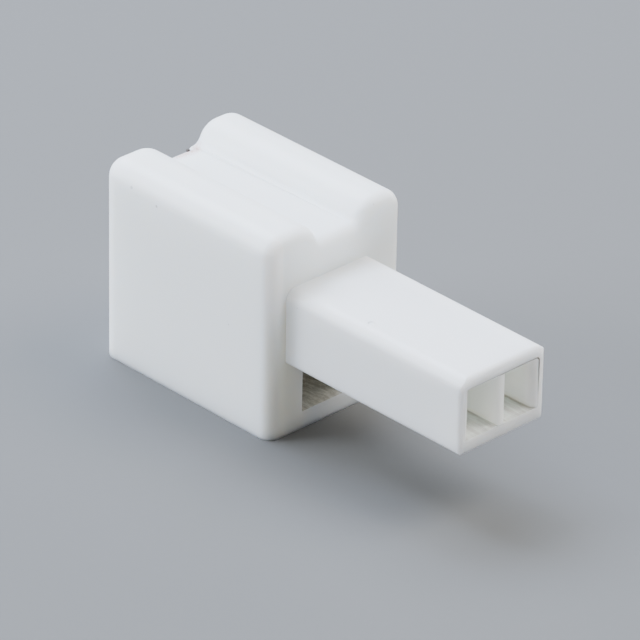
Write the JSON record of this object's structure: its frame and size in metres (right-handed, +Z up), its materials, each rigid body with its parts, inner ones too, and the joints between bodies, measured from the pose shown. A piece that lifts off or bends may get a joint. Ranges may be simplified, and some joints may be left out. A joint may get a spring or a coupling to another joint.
{
  "type": "wire to board connector housing",
  "caption": "Moulded housing with a slim offset nose and two contact mouths; its tall block takes the crimped wires from behind and carries two rounded grip rails.",
  "frame": {"origin": "on the underside, halfway along the overall length, on the centre plane of the block", "axes": "+X runs out along the nose towards the board header, +Z is up towards the two rails, Y runs across the block"},
  "size_m": [0.0362, 0.0132, 0.0164],
  "materials": {
    "body_plastic": "satin natural white nylon"
  },
  "bodies": {
    "root": {"housing": "body_plastic"}
  },
  "joints": []
}
